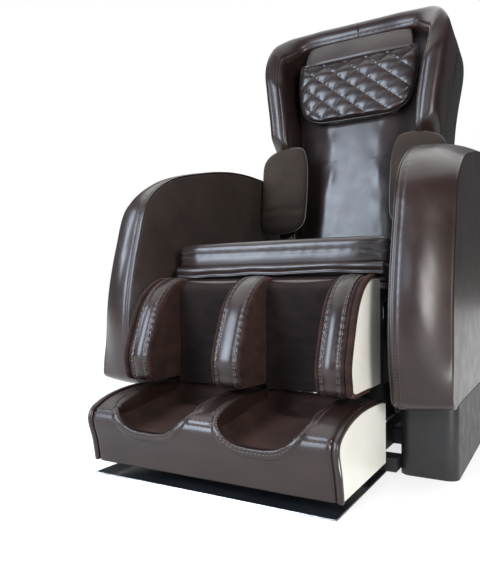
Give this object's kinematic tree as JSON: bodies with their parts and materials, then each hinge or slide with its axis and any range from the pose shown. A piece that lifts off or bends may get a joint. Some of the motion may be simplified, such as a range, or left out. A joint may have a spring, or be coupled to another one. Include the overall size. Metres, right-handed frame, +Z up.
{
  "type": "massage chair",
  "caption": "Upholstered reclining massage chair with arm pods, winged back, quilted head pillow, swinging calf rest with wells and a sliding foot unit.",
  "frame": {"origin": "on the floor, under the middle of the chair", "axes": "+X to the right seen from the front, +Y to the back, +Z up; the sitter faces -Y"},
  "size_m": [0.76, 1.0963, 1.1789],
  "materials": {
    "leather_brown": "semi-gloss dark brown upholstery leather over foam",
    "fabric_brown": "matte dark brown velour over foam",
    "panel_white": "satin ivory moulded side cover",
    "plastic_black": "matte black moulding",
    "plate_black": "glossy black plate",
    "steel_black": "black powder coat",
    "steel_bright": "bright steel",
    "motor_metal": "die-cast gearbox",
    "roller_ivory": "hard plastic massage roller",
    "rubber_black": "solid rubber",
    "board_wood": "dark stained plywood"
  },
  "bodies": {
    "base": {"base_frame": "steel_black", "pivot_pins": "steel_bright", "floor_plate": "plate_black", "floor_feet": "plastic_black", "arm_shell_left": "leather_brown", "arm_shell_right": "leather_brown", "arm_inner_pad_left": "fabric_brown", "arm_inner_pad_right": "fabric_brown", "arm_airbags": "plastic_black", "side_skirts": "plastic_black", "keypad_housing": "plastic_black", "seat_pan": "board_wood", "seat_cushion": "leather_brown", "seat_apron": "leather_brown", "recline_actuator": "motor_metal", "calf_actuator": "motor_metal", "control_box": "plastic_black", "air_pump": "plastic_black", "mains_inlet": "plastic_black"},
    "wheel_left": {"wheel_left": "rubber_black"},
    "wheel_right": {"wheel_right": "rubber_black"},
    "power_button": {"power_button": "roller_ivory"},
    "pause_button": {"pause_button": "roller_ivory"},
    "power_switch": {"power_switch": "plastic_black"},
    "recline_rod": {"recline_rod": "steel_bright"},
    "calf_rod": {"calf_rod": "steel_bright"},
    "backrest": {"rear_shell": "plastic_black", "back_frame": "steel_black", "back_wing_left": "leather_brown", "back_wing_right": "leather_brown", "side_pad_left": "fabric_brown", "side_pad_right": "fabric_brown", "back_cushion": "leather_brown", "lift_motor": "motor_metal"},
    "pillow": {"head_pillow": "leather_brown"},
    "carriage": {"carriage_frame": "steel_black", "kneading_motor": "motor_metal"},
    "lift_screw": {"lift_screw": "steel_bright"},
    "kneading_shaft": {"kneading_shaft": "steel_bright"},
    "kneading_arm_left": {"kneading_arm_left": "roller_ivory"},
    "kneading_arm_right": {"kneading_arm_right": "roller_ivory"},
    "roller_upper_left": {"roller_upper_left": "roller_ivory"},
    "roller_upper_right": {"roller_upper_right": "roller_ivory"},
    "roller_lower_left": {"roller_lower_left": "roller_ivory"},
    "roller_lower_right": {"roller_lower_right": "roller_ivory"},
    "calf_rest": {"calf_fin_left": "leather_brown", "calf_fin_middle": "leather_brown", "calf_fin_right": "leather_brown", "calf_cover_left": "panel_white", "calf_cover_right": "panel_white", "calf_lining": "fabric_brown", "calf_board": "board_wood", "calf_frame": "steel_black", "calf_back_cover": "plastic_black"},
    "foot_unit": {"foot_body": "leather_brown", "foot_frame": "steel_bright", "foot_lining": "fabric_brown", "foot_cover_left": "panel_white", "foot_cover_right": "panel_white"},
    "foot_roller": {"foot_roller": "roller_ivory"}
  },
  "joints": [
    {"name": "recline", "type": "hinge", "parent": "base", "child": "backrest", "pos_m": [0, 0.282, 0.34], "axis": [-1, 0, 0], "range_deg": [0, 50]},
    {"name": "recline_rod_slide", "type": "slide", "parent": "base", "child": "recline_rod", "axis": [0, -1, 0], "range_m": [0, 0.0595]},
    {"name": "calf_lift", "type": "hinge", "parent": "base", "child": "calf_rest", "pos_m": [0, -0.298, 0.352], "axis": [-1, 0, 0], "range_deg": [0, 80]},
    {"name": "calf_rod_slide", "type": "slide", "parent": "base", "child": "calf_rod", "axis": [0, -1, 0], "range_m": [0, 0.058]},
    {"name": "foot_extend", "type": "slide", "parent": "calf_rest", "child": "foot_unit", "axis": [0, 0, -1], "range_m": [0, 0.1]},
    {"name": "foot_roller_spin", "type": "hinge", "parent": "foot_unit", "child": "foot_roller", "pos_m": [0, -0.418, 0.06], "axis": [1, 0, 0], "continuous": true},
    {"name": "carriage_climb", "type": "slide", "parent": "backrest", "child": "carriage", "axis": [0, 0.1392, 0.9903], "range_m": [0, 0.38]},
    {"name": "lift_screw_turn", "type": "hinge", "parent": "backrest", "child": "lift_screw", "pos_m": [-0.064, 0.38792, 0.40388], "axis": [0, 0.1392, 0.9903], "continuous": true},
    {"name": "kneading_spin", "type": "hinge", "parent": "carriage", "child": "kneading_shaft", "pos_m": [0, 0.35796, 0.52119], "axis": [1, 0, 0], "continuous": true},
    {"name": "arm_rock_left", "type": "hinge", "parent": "carriage", "child": "kneading_arm_left", "pos_m": [-0.06, 0.35796, 0.52119], "axis": [1, 0, 0], "range_deg": [-8, 8]},
    {"name": "roller_upper_spin_left", "type": "hinge", "parent": "kneading_arm_left", "child": "roller_upper_left", "pos_m": [-0.078, 0.34322, 0.59597], "axis": [1, 0, 0], "continuous": true},
    {"name": "roller_lower_spin_left", "type": "hinge", "parent": "kneading_arm_left", "child": "roller_lower_left", "pos_m": [-0.078, 0.32318, 0.45337], "axis": [1, 0, 0], "continuous": true},
    {"name": "arm_rock_right", "type": "hinge", "parent": "carriage", "child": "kneading_arm_right", "pos_m": [0.06, 0.35796, 0.52119], "axis": [1, 0, 0], "range_deg": [-8, 8]},
    {"name": "roller_upper_spin_right", "type": "hinge", "parent": "kneading_arm_right", "child": "roller_upper_right", "pos_m": [0.078, 0.34322, 0.59597], "axis": [1, 0, 0], "continuous": true},
    {"name": "roller_lower_spin_right", "type": "hinge", "parent": "kneading_arm_right", "child": "roller_lower_right", "pos_m": [0.078, 0.32318, 0.45337], "axis": [1, 0, 0], "continuous": true},
    {"name": "pillow_lift", "type": "hinge", "parent": "backrest", "child": "pillow", "pos_m": [0, 0.318, 1.11352], "axis": [-1, 0, 0], "range_deg": [0, 60]},
    {"name": "wheel_spin_left", "type": "hinge", "parent": "base", "child": "wheel_left", "pos_m": [-0.25, 0.516, 0.036], "axis": [1, 0, 0], "continuous": true},
    {"name": "wheel_spin_right", "type": "hinge", "parent": "base", "child": "wheel_right", "pos_m": [0.25, 0.516, 0.036], "axis": [1, 0, 0], "continuous": true},
    {"name": "power_button_press", "type": "slide", "parent": "base", "child": "power_button", "axis": [1, 0, 0], "range_m": [0, 0.0025], "stiffness_N_per_m": 600},
    {"name": "pause_button_press", "type": "slide", "parent": "base", "child": "pause_button", "axis": [1, 0, 0], "range_m": [0, 0.0025], "stiffness_N_per_m": 600},
    {"name": "power_switch_rock", "type": "hinge", "parent": "base", "child": "power_switch", "pos_m": [0.138, 0.526, 0.064], "axis": [1, 0, 0], "range_deg": [-6, 6]}
  ],
  "couplings": [
    {"joint": "recline_rod_slide", "follows": "recline", "m_per_rad": 0.0678},
    {"joint": "calf_rod_slide", "follows": "calf_lift", "m_per_rad": 0.041433},
    {"joint": "foot_extend", "follows": "calf_lift", "m_per_rad": 0.0716},
    {"joint": "lift_screw_turn", "follows": "carriage_climb", "rad_per_m": 628.32}
  ]
}
